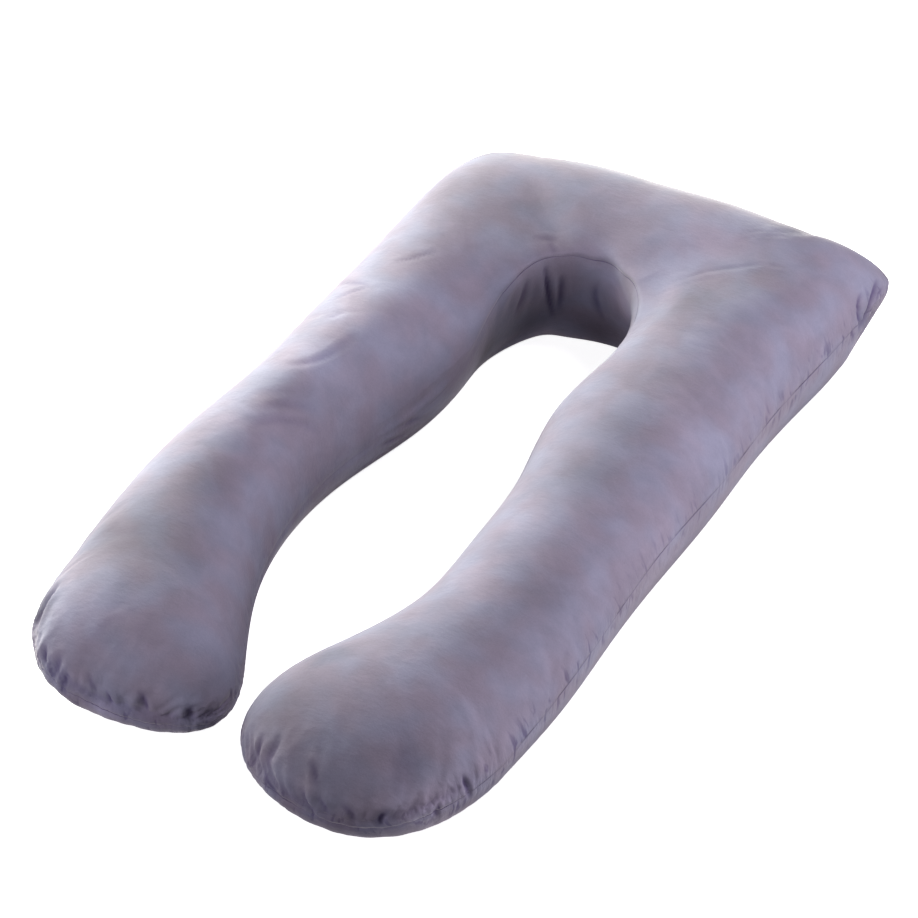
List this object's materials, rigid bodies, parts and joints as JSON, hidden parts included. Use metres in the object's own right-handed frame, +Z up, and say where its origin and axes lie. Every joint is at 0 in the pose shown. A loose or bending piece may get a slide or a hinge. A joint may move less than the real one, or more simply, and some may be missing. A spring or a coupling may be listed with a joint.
{
  "type": "body pillow",
  "caption": "Long U-shaped filled body pillow in short-pile velvet, with a closed head end, square-cut head corners and rounded, gathered arm ends.",
  "frame": {"origin": "bottom centre of the bounding box, on the surface that the pillow lies on", "axes": "+Z up, +Y along the arms towards the closed head end, +X towards the right arm as seen from the arm ends"},
  "size_m": [0.706, 1.3378, 0.2253],
  "materials": {
    "velvet": "short-pile velvet, grey lavender, soft sheen"
  },
  "bodies": {
    "root": {"pillow": "velvet"}
  },
  "joints": []
}
